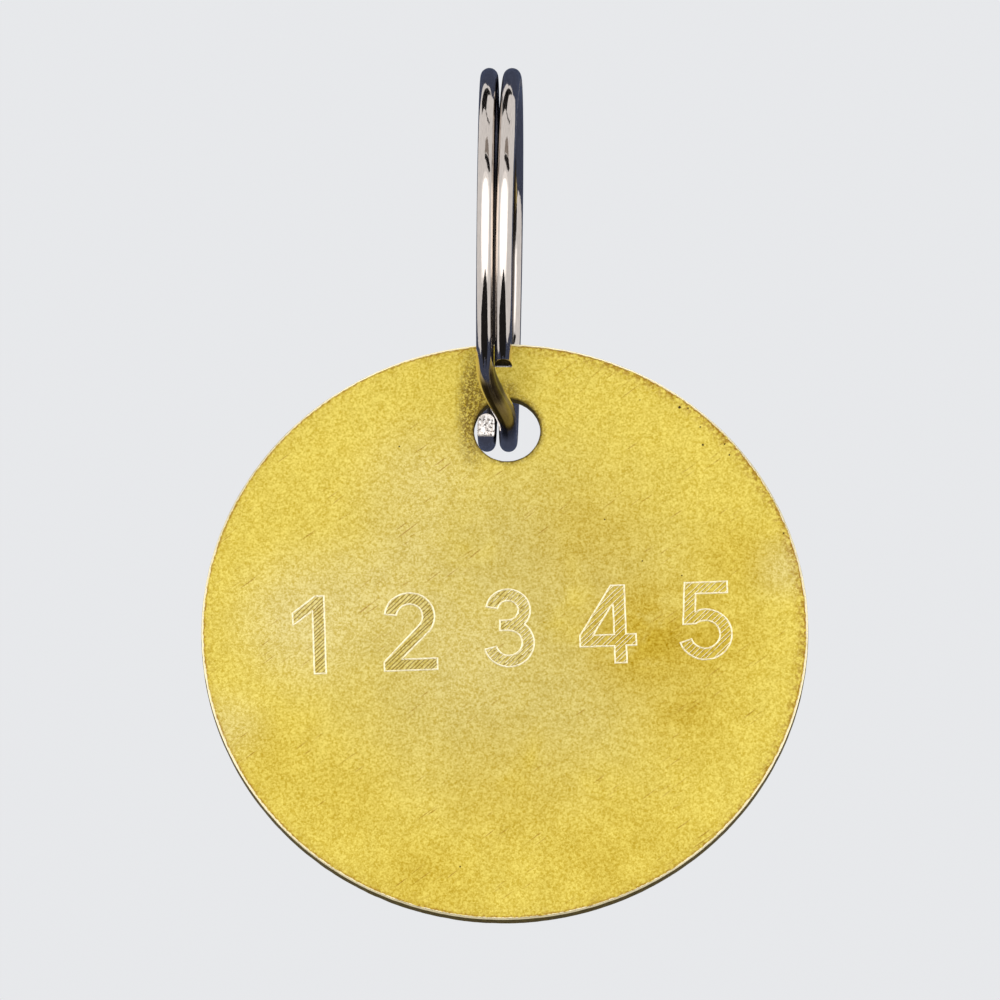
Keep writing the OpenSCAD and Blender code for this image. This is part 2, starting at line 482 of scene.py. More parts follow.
def five():
    bowl, bowl_r = (-0.05, 1.4), 1.4
    flag = [(-1.05, GLYPH_H), (1.2, GLYPH_H), (1.2, GLYPH_H - STROKE_W), (-0.48, GLYPH_H - STROKE_W),
            (-0.55, 2.65)]
    return [flag + arc(bowl, bowl_r, 98, -162) + arc(bowl, bowl_r - STROKE_W, -162, 128) + [(-1.2, 2.0)]]


# The numbers' places, and the step from cut to cut in the hatching of each
NUMBERS = ((one, 0.155), (two, 0.165), (three, 0.175), (four, 0.21), (five, 0.215))
NUMBER_PITCH = 5.2
NUMBER_MIDDLE = (0.2, 0.12)
NUMBER_TILT_DEG = 2.6
# The cuts: half width and depth, and how uneven they are
OUTLINE_HALF_W, OUTLINE_DEPTH = 0.044, 0.013
HATCH_HALF_W, HATCH_DEPTH = 0.031, 0.011
HATCH_DEG = 43
HATCH_JITTER = 0.22
LINE_STEP = 0.3
WOBBLE = 0.008
MITRE_LIMIT = 0.35
# How light the hatching's painted highlight is, how dark its grime and painted shade are, and how much of a
# cut's width that takes
HATCH_HIGHLIGHT = 0.85
HATCH_DIRT_AND_SHADE = 0.60
HATCH_CORE = 0.35
# The hatching turns from grime and painted shade to a painted highlight between this far left and right of
# the disc's centre
BRIGHT_FROM = 4
BRIGHT_MOST = 0.9

# Pits: across and up from the disc's centre and radius, in millimetres
PIT_PLACES = ((9.11, 12.5, 0.10), (9.56, 12.45, 0.045), (10.36, 10.4, 0.075), (10.21, 11.4, 0.05),
              (11.51, 10.45, 0.05), (11.76, 9.85, 0.05), (14.66, 5.5, 0.05), (7.01, 12.9, 0.035),
              (5.21, 6.2, 0.05), (7.21, 3.9, 0.05), (9.31, 3.1, 0.045), (-5.69, 10.2, 0.05),
              (-2.19, -13.1, 0.05))
PIT_DEPTH = 0.04 * MM
PIT_DIRT = 2.5
PIT_RING = 10


def following(points, closed):
    """The point after each one; an open line's last point has none."""
    return points[1:] + points[:1] if closed else points[1:]


def cut_up(points, closed):
    """The same line in short steps, each point moved a little as a chattering tool would."""
    fine = []
    for a, b in zip(points, following(points, closed)):
        steps = max(1, math.ceil(math.dist(a, b) / LINE_STEP))
        fine += [tuple(a[k] + (b[k] - a[k]) * i / steps for k in (0, 1)) for i in range(steps)]
    if not closed:
        fine.append(points[-1])
    return [tuple(c + rng.uniform(-WOBBLE, WOBBLE) for c in p) for p in fine]


def inside_spans(loops, origin, along):
    """Stretches of a straight line that lie inside the loops, as pairs of distances from origin."""
    def measured(p):
        x, y = p[0] - origin[0], p[1] - origin[1]
        return x * along[0] + y * along[1], y * along[0] - x * along[1]

    hits = []
    for loop in loops:
        for a, b in zip(loop, following(loop, True)):
            side_a, side_b = measured(a)[1], measured(b)[1]
            if (side_a > 0) != (side_b > 0):
                t = side_a / (side_a - side_b)
                hits.append(measured([a[k] + (b[k] - a[k]) * t for k in (0, 1)])[0])
    hits.sort()
    return list(zip(hits[::2], hits[1::2]))


def hatching(loops, apart):
    """Parallel cuts that fill a number's strokes, rising to the right."""
    deg = math.radians(HATCH_DEG)
    along = (math.cos(deg), math.sin(deg))
    count = math.ceil(1.5 * GLYPH_H / apart)
    cuts = []
    for i in range(-count, count + 1):
        offset = apart * (i + rng.uniform(-HATCH_JITTER, HATCH_JITTER))
        origin = (-along[1] * offset, GLYPH_H / 2 + along[0] * offset)
        for start, end in inside_spans(loops, origin, along):
            if end - start > 2 * HATCH_HALF_W:
                cuts.append([tuple(origin[k] + along[k] * t for k in (0, 1)) for t in (start, end)])
    return cuts


def engraving():
    """Every cut of the marking as (points, closed, half width, depth), in millimetres on the face."""
    tilt = math.radians(NUMBER_TILT_DEG)
    cuts = []
    for i, (number, hatch_step) in enumerate(NUMBERS):
        loops = number()
        lines = [(loop, True, OUTLINE_HALF_W, OUTLINE_DEPTH) for loop in loops]
        lines += [(cut, False, HATCH_HALF_W, HATCH_DEPTH) for cut in hatching(loops, hatch_step)]
        shift = NUMBER_PITCH * (i - (len(NUMBERS) - 1) / 2)
        for points, closed, half_w, depth in lines:
            placed = []
            for x, y in cut_up(points, closed):
                x, y = x + shift, y - GLYPH_H / 2
                placed.append((NUMBER_MIDDLE[0] + x * math.cos(tilt) - y * math.sin(tilt),
                               NUMBER_MIDDLE[1] + x * math.sin(tilt) + y * math.cos(tilt)))
            cuts.append((placed, closed, half_w, depth))
    return cuts


class Grooves:
    """Depth of the engraving at any points of the face, in millimetres."""

    BATCH = 2000
    FAR_OUTSIDE = -10.0

    def __init__(self, cuts):
        rows = [(*a, *b, half_w, depth, closed) for points, closed, half_w, depth in cuts
                for a, b in zip(points, following(points, closed))]
        table = np.array(rows, float)
        self.start = table[:, 0:2]
        self.span = table[:, 2:4] - self.start
        self.length2 = np.maximum((self.span ** 2).sum(1), 1e-12)
        self.half, self.depth, self.outline = table[:, 4], table[:, 5], table[:, 6] > 0

    def at(self, points):
        """(depth, share inside any cut, share inside an outline, side of the nearest cut)."""
        points = np.asarray(points, float)
        depth, side = np.zeros(len(points)), np.zeros(len(points))
        inside = np.full(len(points), self.FAR_OUTSIDE)
        in_outline = np.full(len(points), self.FAR_OUTSIDE)
        for first in range(0, len(points), self.BATCH):
            batch = slice(first, first + self.BATCH)
            p = points[batch, None, :] - self.start[None]
            t = np.clip((p * self.span).sum(2) / self.length2, 0, 1)
            away = np.sqrt(((p - t[..., None] * self.span) ** 2).sum(2))
            share = 1 - away / self.half
            inside[batch] = share.max(1)
            in_outline[batch] = share[:, self.outline].max(1)
            nearest = share.argmax(1)
            off, span = p[np.arange(len(p)), nearest], self.span[nearest]
            side[batch] = span[:, 0] * off[:, 1] - span[:, 1] * off[:, 0]
            depth[batch] = (np.clip(share, 0, 1) * self.depth).max(1)
        return depth, inside, in_outline, side


def side_line(points, closed, offset):
    """The line at a distance to the left of another, with mitred corners."""
    count = len(points)
    moved = []
    for i, p in enumerate(points):
        before = points[(i - 1) % count] if closed or i > 0 else p
        after = points[(i + 1) % count] if closed or i < count - 1 else p
        normals = []
        for a, b in ((before, p), (p, after)):
            run = math.dist(a, b)
            if run > 0:
                normals.append(((a[1] - b[1]) / run, (b[0] - a[0]) / run))
        total = [sum(n[k] for n in normals) / len(normals) for k in (0, 1)]
        size2 = max(total[0] ** 2 + total[1] ** 2, MITRE_LIMIT)
        moved.append((p[0] + total[0] / size2 * offset, p[1] + total[1] / size2 * offset))
    return moved


# Disc mesh: which side a face is on, and which of its two loops is which
FRONT, BACK = -1, 1
RIM, HOLE = 0, 1
# Steps round the rim, the hole, the rounded edges and the side
RIM_STEPS = 720
HOLE_STEPS = 200
EDGE_STEPS = 5
SIDE_STEPS = 3
DISC_SHARP_DEG = 14
# Points strewn over the faces, in millimetres, and how many half widths they keep from a cut
POINT_STEP = 0.32
POINT_JITTER = 0.09
ROW_SHARE = 0.866
CLEAR_OF_LOOP = 0.12
CLEAR_OF_CUT = 1.7
# Unevenness of the faces: how long and how deep the swells are, in millimetres
BROAD_SWELL = (7, 0.006)
FINE_SWELL = (1.3, 0.0012)
# Unevenness of the rounded edges: how many times round, each this share of the radius
EDGE_WAVES = (9, 46)
EDGE_WAVE_SHARE = 0.22
# Scuffs on the side
SCUFF_WAVES = 30
SCUFF_ROWS = 4
SCUFF_DEPTH = 0.02 * MM


def circle(radius, count, up=0.0):
    return [(radius * math.cos(math.tau * i / count), up + radius * math.sin(math.tau * i / count))
            for i in range(count)]


def scattered(grooves):
    """Points strewn evenly over the face, clear of its rim, its hole and the engraving."""
    rows = math.ceil(DISC_R / MM / (POINT_STEP * ROW_SHARE))
    found = []
    for j in range(-rows, rows + 1):
        for i in range(-rows, rows + 1):
            x = (i + (j % 2) / 2) * POINT_STEP + rng.uniform(-POINT_JITTER, POINT_JITTER)
            y = j * POINT_STEP * ROW_SHARE + rng.uniform(-POINT_JITTER, POINT_JITTER)
            in_rim = math.hypot(x, y) < (DISC_R - EDGE_R) / MM - CLEAR_OF_LOOP
            off_hole = math.hypot(x, y - HOLE_UP / MM) > (HOLE_R + EDGE_R) / MM + CLEAR_OF_LOOP
            if in_rim and off_hole:
                found.append((x, y))
    if grooves:
        inside = grooves.at(found)[1]
        found = [p for p, share in zip(found, inside) if share < 1 - CLEAR_OF_CUT]
    return found


def pit_points():
    """Each pit's middle, and a ring of points half way up it and at its edge."""
    points = []
    for x, y, radius in PIT_PLACES:
        points.append((x, y))
        for share in (0.5, 1.0):
            points += [(x + px, y + py) for px, py in circle(radius * share, PIT_RING)]
    return points


def cut_points(cuts, first):
    """Points along the middle and both edges of every cut, and the edges that join them."""
    points, edges = [], []
    for line, closed, half_w, _ in cuts:
        for offset in (-half_w, 0.0, half_w):
            start = first + len(points)
            moved = side_line(line, closed, offset)
            points += moved
            edges += [(start + i, start + i + 1) for i in range(len(moved) - 1)]
            if closed:
                edges.append((start + len(moved) - 1, start))
    return points, edges


def middle_of(face, points):
    return sum((points[i] for i in face), Vector((0, 0))) / 3


def face_mesh(cuts):
    """Triangles of one face as (points, faces, rim indices, hole indices), in millimetres."""
    grooves = Grooves(cuts) if cuts else None
    points = circle((DISC_R - EDGE_R) / MM, RIM_STEPS)
    points += circle((HOLE_R + EDGE_R) / MM, HOLE_STEPS, HOLE_UP / MM)
    edges = [(i, (i + 1) % RIM_STEPS) for i in range(RIM_STEPS)]
    edges += [(RIM_STEPS + i, RIM_STEPS + (i + 1) % HOLE_STEPS) for i in range(HOLE_STEPS)]
    more_points, more_edges = cut_points(cuts, len(points))
    points += more_points
    edges += more_edges
    if cuts:
        points += pit_points()
    points += scattered(grooves)
    out = geometry.delaunay_2d_cdt([Vector(p) for p in points], edges, [], 0, 1e-6, True)
    flat_points, _, faces, sources = out[:4]
    hole_centre = Vector((0, HOLE_UP / MM))
    hole_edge = (HOLE_R + EDGE_R) / MM * math.cos(math.pi / HOLE_STEPS)
    kept = [face for face in faces if (middle_of(face, flat_points) - hole_centre).length > hole_edge]
    where = {source: i for i, group in enumerate(sources) for source in group}
    rim_ids = [where[i] for i in range(RIM_STEPS)]
    hole_ids = [where[RIM_STEPS + i] for i in range(HOLE_STEPS)]
    return flat_points, kept, rim_ids, hole_ids, grooves


def swell(x, y, seed):
    """How far the sheet lies below its highest points: a slight unevenness from tumbling, in metres."""
    depth = 0.0
    for (length, height), apart in ((BROAD_SWELL, 0), (FINE_SWELL, 9)):
        depth += height * (1 + noise.noise(Vector((x / length, y / length, seed + apart))))
    return depth * MM


def edge_wear(angle, seed):
    """Radius of the rounded edge at one place of the rim or hole: never the same all round."""
    place = Vector((math.cos(angle), math.sin(angle), seed))
    return EDGE_R * (1 + sum(EDGE_WAVE_SHARE * noise.noise(place * waves) for waves in EDGE_WAVES))


def edge_profile(radius, outward, front_y, back_y, front, back):
    """(radius, y) from the front face to the back one: a rounded edge, the side, a rounded edge."""
    turns = [math.pi / 2 * k / EDGE_STEPS for k in range(1, EDGE_STEPS + 1)]
    low, high = front_y + front, back_y - back
    points = [(radius - outward * front * (1 - math.sin(t)), front_y + front * (1 - math.cos(t)))
              for t in turns]
    points += [(radius, low + (high - low) * k / (SIDE_STEPS + 1)) for k in range(1, SIDE_STEPS + 1)]
    points += [(radius - outward * back * (1 - math.sin(t)), back_y - back * (1 - math.cos(t)))
               for t in reversed(turns)]
    return points


def pit_share(x, y):
    return max(max(0.0, 1 - math.dist((x, y), pit[:2]) / pit[2]) for pit in PIT_PLACES)


def face_looks(flat_points, triangles, grooves):
    """(freshly cut metal and painted highlight, grime and painted shade) of each triangle. The outlines
    are bright; in the hatching one flank of a cut is painted as a highlight and the other as shade,
    and the hatching of the left numbers is dark with grime and shade, that of the right ones half bright."""
    if not grooves:
        return [(0.0, 0.0)] * len(triangles)
    middles = [middle_of(t, flat_points) for t in triangles]
    _, shares, outline_shares, sides = grooves.at(middles)
    looks = []
    for middle, share, outline_share, side in zip(middles, shares, outline_shares, sides):
        in_hatch = share > HATCH_CORE * rng.random() and outline_share <= 0
        right = smooth((middle.x + BRIGHT_FROM) / (2 * BRIGHT_FROM))
        # In the hatching, one flank of each cut is painted light as a highlight and the other dark as shade
        bright = in_hatch and side > 0 and right > BRIGHT_MOST * rng.random()
        fresh_and_lit = 1.0 if outline_share > 0 else HATCH_HIGHLIGHT if bright else 0.0
        looks.append((fresh_and_lit, HATCH_DIRT_AND_SHADE if in_hatch and not bright else 0.0))
    return looks


class SheetMesh:
    """The disc's mesh, from its centre, with the looks of each face and how dirty its pits are."""

    def __init__(self):
        self.verts, self.faces, self.loops = [], [], []
        self.cut, self.hatch, self.pits = [], [], {}

    def add_face(self, side, cuts):
        """The marked front or the plain back of the sheet."""
        flat_points, triangles, rim_ids, hole_ids, grooves = face_mesh(cuts)
        first = len(self.verts)
        depth = grooves.at(flat_points)[0] if grooves else np.zeros(len(flat_points))
        for i, p in enumerate(flat_points):
            pit = pit_share(p.x, p.y) if cuts else 0.0
            if pit > 0:
                self.pits[first + i] = min(1.0, PIT_DIRT * pit)
            down = depth[i] * MM + swell(p.x, p.y, 3 * side) + PIT_DEPTH * pit
            self.verts.append((p.x * MM, side * (DISC_T / 2 - down), p.y * MM))
        for t, (fresh_and_lit, dirt_and_shade) in zip(triangles, face_looks(flat_points, triangles, grooves)):
            ids = [first + i for i in t]
            self.faces.append(ids if side == FRONT else ids[::-1])
            self.cut.append(fresh_and_lit)
            self.hatch.append(dirt_and_shade)
        self.loops.append(([first + i for i in rim_ids], [first + i for i in hole_ids]))

    def pull_in(self, ring, angles, up, radius, outward, wear):
        """Moves a face's outer or inner loop to where its rounded edge begins."""
        for vertex, a, worn in zip(ring, angles, wear):
            r = radius - outward * worn
            self.verts[vertex] = (r * math.cos(a), self.verts[vertex][1], up + r * math.sin(a))

    def add_wall(self, which, up, radius, outward, seed):
        """The rounded edges and the side between the faces, round the rim or the hole."""
        front_ring, back_ring = self.loops[0][which], self.loops[1][which]
        count = len(front_ring)
        angles = [math.tau * i / count for i in range(count)]
        front = [edge_wear(a, seed) for a in angles]
        back = [edge_wear(a, seed + 4) for a in angles]
        self.pull_in(front_ring, angles, up, radius, outward, front)
        self.pull_in(back_ring, angles, up, radius, outward, back)
        profiles = [edge_profile(radius, outward, self.verts[front_ring[i]][1],
                                 self.verts[back_ring[i]][1], front[i], back[i]) for i in range(count)]
        rows = [front_ring]
        for step in zip(*profiles):
            rows.append(list(range(len(self.verts), len(self.verts) + count)))
            for a, (r, y) in zip(angles, step):
                place = (SCUFF_WAVES * math.cos(a), SCUFF_WAVES * math.sin(a), y / MM * SCUFF_ROWS + seed)
                r -= outward * SCUFF_DEPTH * max(0.0, noise.noise(Vector(place)))
                self.verts.append((r * math.cos(a), y, up + r * math.sin(a)))
        rows.append(back_ring)
        for near, far in zip(rows, rows[1:]):
            for i in range(count):
                k = (i + 1) % count
                quad = (near[i], near[k], far[k], far[i])
                self.faces.append(quad if outward > 0 else quad[::-1])
                self.cut.append(0.0)
                self.hatch.append(0.0)


def build_disc():
    sheet = SheetMesh()
    sheet.add_face(FRONT, engraving())
    sheet.add_face(BACK, [])
    sheet.add_wall(RIM, up=0.0, radius=DISC_R, outward=1, seed=1.5)
    sheet.add_wall(HOLE, up=HOLE_UP, radius=HOLE_R, outward=-1, seed=7.5)
    mesh = bpy.data.meshes.new("tag_disc_dressed")
    mesh.from_pydata([(DISC_X + x, DISC_Y + y, DISC_Z + z) for x, y, z in sheet.verts], [], sheet.faces)
    pit = mesh.attributes.new("pit", "FLOAT", "POINT")
    for vertex, share in sheet.pits.items():
        pit.data[vertex].value = share
    for name, values in (("cut", sheet.cut), ("hatch", sheet.hatch)):
        mesh.attributes.new(name, "FLOAT", "FACE").data.foreach_set("value", values)
    return add_piece("disc_sheet", mesh, "disc", "tag_disc", brass_material(), DISC_SHARP_DEG)


# Split ring mesh: steps round the wire, along each bevel and into each end
OUTER_STEPS = 36
INNER_STEPS = 24
FLAT_STEPS = 3
SECTION_DEG = 1.0
BEVEL_SECTIONS = 36
CAP_RINGS = 14
WIRE_SHARP_DEG = 24
# The burr that grinding left at the outer end
BURR_LEN = 0.08 * MM
BURR_H = 0.10 * MM
BURR_DEG = math.degrees(BURR_LEN / COIL_R)
# Unevenness of the wire: how long and how deep the waves are, in millimetres
LONG_WAVE = (2.6, 0.0035)
SHORT_WAVE = (0.7, 0.0008)
# Unevenness of the torn metal in the ends
TORN_BROAD = 0.21 * MM
TORN_FINE = 0.07 * MM
TORN_DEPTH = 0.013 * MM
# Dirt and painted shade between the turns start and are full this far out to the side, and fade in past the
# jog
SEAM_FROM = 0.89
SEAM_FULL = 0.98
SEAM_FADE_DEG = 8
# Painted shade on the half of the ring's inside that faces the other turn, round the back
INSIDE_FROM_DEG = 188
INSIDE_END_DEG = 320
INSIDE_SHADE = 0.95
# How far past its start the lower half of the jog begins, which has less painted shade
JOG_LOWER_DEG = 11


def lane_x(deg):
    """Place of the wire along the ring's axis at an angle, counted on through both turns."""
    past = deg - TURN_DEG
    over = smooth((past - JOG_DEG) / JOG_SPAN_DEG)
    opened = smooth((past - OPEN_DEG) / (SPREAD_DEG - OPEN_DEG))
    closed = smooth((past - CLOSING_DEG) / (TURN_DEG + CLOSED_DEG - CLOSING_DEG))
    return ((LANE_PITCH + LOW_GAP) * over + (SPREAD_GAP - LOW_GAP) * opened
            - SPREAD_GAP * closed - LANE_PITCH / 2)


def slant(deg):
    """How much wider the wire measures along the ring's axis where it runs aslant."""
    run = COIL_R * 2 * math.radians(SLANT_DEG)
    return math.hypot(1, (lane_x(deg + SLANT_DEG) - lane_x(deg - SLANT_DEG)) / run)


def bevel_top(deg):
    """Highest point of the wire above its middle; the ground slant leaves a burr at the outer end."""
    inner_cut = INNER_BEVEL_SHARE * (1 - (deg - START_DEG) / BEVEL_DEG)
    outer_cut = BEVEL_SHARE * (1 - (END_DEG - deg) / BEVEL_DEG)
    burr = BURR_H * max(0.0, 1 - (END_DEG - deg) / BURR_DEG)
    return WIRE_H / 2 - WIRE_H * max(inner_cut, outer_cut, 0) + burr


def section_degs():
    """Angles of the wire's sections: close together along both bevels, evenly spread between them."""
    body_deg = END_DEG - START_DEG - 2 * BEVEL_DEG
    count = round(body_deg / SECTION_DEG)
    degs = [START_DEG + BEVEL_DEG * i / BEVEL_SECTIONS for i in range(BEVEL_SECTIONS)]
    degs += [START_DEG + BEVEL_DEG + body_deg * i / count for i in range(count)]
    return degs + [END_DEG - BEVEL_DEG * (1 - i / BEVEL_SECTIONS) for i in range(BEVEL_SECTIONS + 1)]


def wire_section():
    """The wire's section as (across, outward): the outer round side, a flat, the inner one, a flat."""
    points = []
    for start, steps, sign in ((0, OUTER_STEPS, 1), (180, INNER_STEPS, -1)):
        for i in range(steps + 1):
            a = math.radians(start + 180 * i / steps)
            points.append((SIDE_R * math.cos(a), sign * FLAT_H / 2 + SIDE_R * math.sin(a)))
        across = points[-1][0]
        points += [(across, sign * FLAT_H * (0.5 - k / (FLAT_STEPS + 1))) for k in range(1, FLAT_STEPS + 1)]
    return points


def ring_point(deg, across, outward):
    a = math.radians(deg)
    r = COIL_R + outward
    return Vector((lane_x(deg) + across * slant(deg), -r * math.sin(a), RING_Z + r * math.cos(a)))


def draw_marks(deg, turned):
    """Shallow unevenness that drawing and winding leave in the wire, always inwards, in metres."""
    run = math.radians(deg) * COIL_R / MM
    depth = 0.0
    for (length, height), often, seed in ((LONG_WAVE, 5, 1.7), (SHORT_WAVE, 14, 8.2)):
        depth += height * (1 + noise.noise(Vector((run / length, turned * often, seed))))
    return depth * MM


def inside_shade(deg, side):
    """Painted shade on the half of the ring's inside that faces the other turn, round the back."""
    past = deg % TURN_DEG
    at_back = smooth((past - INSIDE_FROM_DEG) / 8) * (1 - smooth((past - INSIDE_END_DEG) / 20))
    facing = side if deg < TURN_DEG + JOG_DEG else -side
    return INSIDE_SHADE * at_back * smooth((facing + 0.26) / 0.16)


def seam_dirt(deg, side):
    """Dirt and painted shade where the turns face each other: on the right until the jog, on the left after
    it.
    """
    past_jog = deg - TURN_DEG - JOG_DEG
    if past_jog < 0:
        return smooth((side - SEAM_FROM) / (SEAM_FULL - SEAM_FROM))
    faded_in = smooth((past_jog - JOG_SPAN_DEG) / SEAM_FADE_DEG)
    return faded_in * smooth((-side - SEAM_FROM) / (SEAM_FULL - SEAM_FROM))


def crook_shade(deg, side, outward):
    """Painted shade in the crook of the step from lane to lane: its right flank, its left half, its middle.
    """
    past_jog = deg - TURN_DEG - JOG_DEG
    fading = 1 - smooth((past_jog - JOG_SPAN_DEG) / SEAM_FADE_DEG)
    lower = smooth((past_jog - JOG_LOWER_DEG) / 5)
    # Both outer edges stay free of painted shade: the left one all along, the right one low on its inner
    # corner
    clear_left = smooth((side + 0.68) / 0.08)
    inner_corner = smooth((-outward / FLAT_H - 0.40) / 0.08) * smooth((side - 0.60) / 0.15)
    flank = (0.98 - 0.32 * lower) * smooth((side - 0.42) / 0.14) * smooth((past_jog + 6) / 8)
    left = 0.98 * clear_left * (1 - smooth((side - 0.02) / 0.20)) * smooth((past_jog - 1) / 5)
    middle = clear_left * (0.90 * (1 - lower) * smooth((past_jog - 2) / 4) + 0.6 * lower)
    return fading * (1 - lower * inner_corner) * max(flank, left, middle)


class WireMesh:
    """The split ring's mesh, with what its points say about their looks."""

    def __init__(self):
        self.verts, self.faces = [], []
        self.looks = {name: [] for name in ("along", "around", "cut", "seam", "flat")}

    def add_point(self, place, **looks):
        self.verts.append(place)
        for name, values in self.looks.items():
            values.append(looks.get(name, 0.0))
        return len(self.verts) - 1

    def add_section(self, deg, section):
        """One section of the wire; side is -1 at its left, 1 at its right."""
        top = bevel_top(deg)
        on_burr = END_DEG - deg < BURR_DEG
        on_bevel = deg > END_DEG - BEVEL_DEG and not on_burr
        ids = []
        for i, (across, outward) in enumerate(section):
            share = i / len(section)
            sunk = 1 - draw_marks(deg, math.sin(math.tau * share)) / math.hypot(across, outward)
            across, outward = across * sunk, outward * sunk
            side = across / SIDE_R
            # Grime and painted shade between the turns, painted shade in the crook of the jog and inside
            # the back half
            dirt_and_shade = max(crook_shade(deg, side, outward), seam_dirt(deg, side),
                       inside_shade(deg, side) if outward < 0 else 0.0)
            ids.append(self.add_point(
                ring_point(deg, across, min(outward, top)),
                along=math.radians(deg) * COIL_R,
                around=share * 2 * (math.pi * SIDE_R + FLAT_H),
                cut=1.0 if on_burr else 0.0,
                # The ground bevel's flat facet at the outer end is painted dark as a reflection
                seam=1.0 if on_bevel and outward > top else dirt_and_shade,
                flat=1.0 if abs(outward) < 0.49 * FLAT_H else 0.0))
        return ids

    def join(self, near, far):
        """Faces between two closed rows of points."""
        for i in range(len(near)):
            k = (i + 1) % len(near)
            self.faces.append((near[i], near[k], far[k], far[i]))

    def add_cap(self, rim, deg, sign):
        """A rough sheared end: rows of points that close in on its middle."""
        centre = sum((self.verts[i] for i in rim), Vector()) / len(rim)
        a = math.radians(deg)
        inward = Vector((0, math.cos(a), math.sin(a))) * sign
        rows = [rim]
        for step in range(1, CAP_RINGS):
            row = []
            for i in rim:
                p = self.verts[i].lerp(centre, step / CAP_RINGS)
                torn = 1 + noise.noise(p / TORN_BROAD) + 0.6 * noise.noise(p / TORN_FINE)
                row.append(self.add_point(p + inward * TORN_DEPTH * torn * min(1, step / 3), cut=1.0))
            rows.append(row)
        tip = self.add_point(centre + inward * TORN_DEPTH, cut=1.0)
        for outer, inner in zip(rows, rows[1:]):
            near, far = (inner, outer) if sign < 0 else (outer, inner)
            self.join(near, far)
        for i, last in enumerate(rows[-1]):
            after = rows[-1][(i + 1) % len(rim)]
            self.faces.append((after, last, tip) if sign < 0 else (tip, last, after))


def build_ring():
    wire = WireMesh()
    section = wire_section()
    rows = [wire.add_section(deg, section) for deg in section_degs()]
    for near, far in zip(rows, rows[1:]):
        wire.join(near, far)
    wire.add_cap(rows[0], START_DEG, -1)
    wire.add_cap(rows[-1], END_DEG, 1)
    mesh = bpy.data.meshes.new("split_ring_dressed")
    mesh.from_pydata(wire.verts, [], wire.faces)
    for name, values in wire.looks.items():
        mesh.attributes.new(name, "FLOAT", "POINT").data.foreach_set("value", values)
    return add_piece("ring_wire", mesh, "ring", "split_ring", nickel_material(), WIRE_SHARP_DEG)


# Stage: floor, world, lamps, and dark cards that the polished wire reflects
FLOOR_Z = -0.45
FLOOR_HALF = 6.0
FLOOR_COLOUR = (0.96, 0.96, 0.96, 1)
WORLD_COLOUR = (0.80, 0.81, 0.83, 1)
CLOTH_COLOUR = (0.050, 0.064, 0.115, 1)
BLACK_COLOUR = (0.006, 0.005, 0.005, 1)
DIM_COLOUR = (0.330, 0.290, 0.260, 1)
MATT = 0.9
CARD_R = 0.40
CARD_COLUMNS = 16
RING_CENTRE = Vector((0, 0, RING_Z))

# Lamps in front: azimuth, elevation, distance, width and height in degrees, and radiance
FRONT_BOX = (-2, 0, 0.43, 92, 60, 0.40)
FRONT_EDGE = (-2, 0, 0.45, 106, 70, 0.24)
RING_GLINT = (-2, 0, 0.41, 96, 60, 0.40)
# Lamps all round the disc, in front of the cards
DISC_BOX_DISTANCE = 0.24
DISC_BOXES = (("left_box", -84, 0, 36, 60, 1.0), ("right_box", 84, 0, 36, 60, 1.0),
              ("back_box", 180, 8, 84, 60, 1.1), ("top_box", 0, 90, 64, 64, 1.1),
              ("under_box", 0, -90, 90, 90, 0.75))

# Cards by elevation: each row is an elevation and the azimuths of its two ends, in degrees
BEHIND_ROWS = ((-80, 88, 272), (-60, 74, 284), (-50, 64, 278), (-45, 82, 268), (-30, 94, 259),
               (-10, 110, 245), (8, 126, 232), (25, 136, 221), (41, 132, 223), (51, 127, 216),
               (60, 124, 208), (66, 136, 203), (71, 165, 193))
UNDER_ROWS = ((-89.9, -180, 180), (-80, -180, 180))
BELOW_ROWS = ((-80, -88, 88), (-60, -76, 74), (-50, -82, 64), (-44, -80, 54), (-36, -66, 42),
              (-31, -22, 32), (-25, 2, 10))
# Cards by outline: azimuth and elevation of each corner, in degrees
OVER_OUTLINE = ((126, 66), (156, 75), (-150, 71), (-133, 60), (-124, 48), (-106, 50), (-42, 77),
                (-66, 85), (170, 84), (122, 70))
STRIP_OUTLINE = ((-20, 45), (0, 46), (25, 43), (62, 31), (40, 32), (20, 36), (0, 41), (-18, 42))
DIM_OUTLINE = ((-20, 46), (-15, 56), (15, 58), (35, 50), (42, 39), (25, 44), (0, 47))
THREAD_OUTLINE = ((-46, 77), (11, 74.5), (48, 66.5), (69, 61), (48, 63), (11, 71.5), (-46, 75))


def plain_material(name, colour):
    material = bpy.data.materials.new(name)
    Graph(material).finish(Base_Color=colour, Roughness=MATT)
    return material


def build_floor():
    half = FLOOR_HALF
    corners = [(x, y, FLOOR_Z) for x, y in ((-half, -half), (half, -half), (half, half), (-half, half))]
    mesh = bpy.data.meshes.new("floor")
    mesh.from_pydata(corners, [], [(0, 1, 2, 3)])
    mesh.materials.append(plain_material("floor", FLOOR_COLOUR))
    link("floor", mesh)


def build_world():
    world = bpy.data.worlds.new("studio")
    bpy.context.scene.world = world
    world.use_nodes = True
    background = world.node_tree.nodes["Background"]
    background.inputs["Color"].default_value = WORLD_COLOUR
    background.inputs["Strength"].default_value = 1.0


def add_card(name, places, faces, material):
    """A card on a sphere round the ring, seen in the metal only."""
    mesh = bpy.data.meshes.new(name)
    mesh.from_pydata([RING_CENTRE + CARD_R * direction(az, el) for az, el in places], [], faces)
    mesh.materials.append(material)
    card = link(name, mesh)
    card.visible_camera = False
    card.visible_diffuse = False
    card.visible_shadow = False


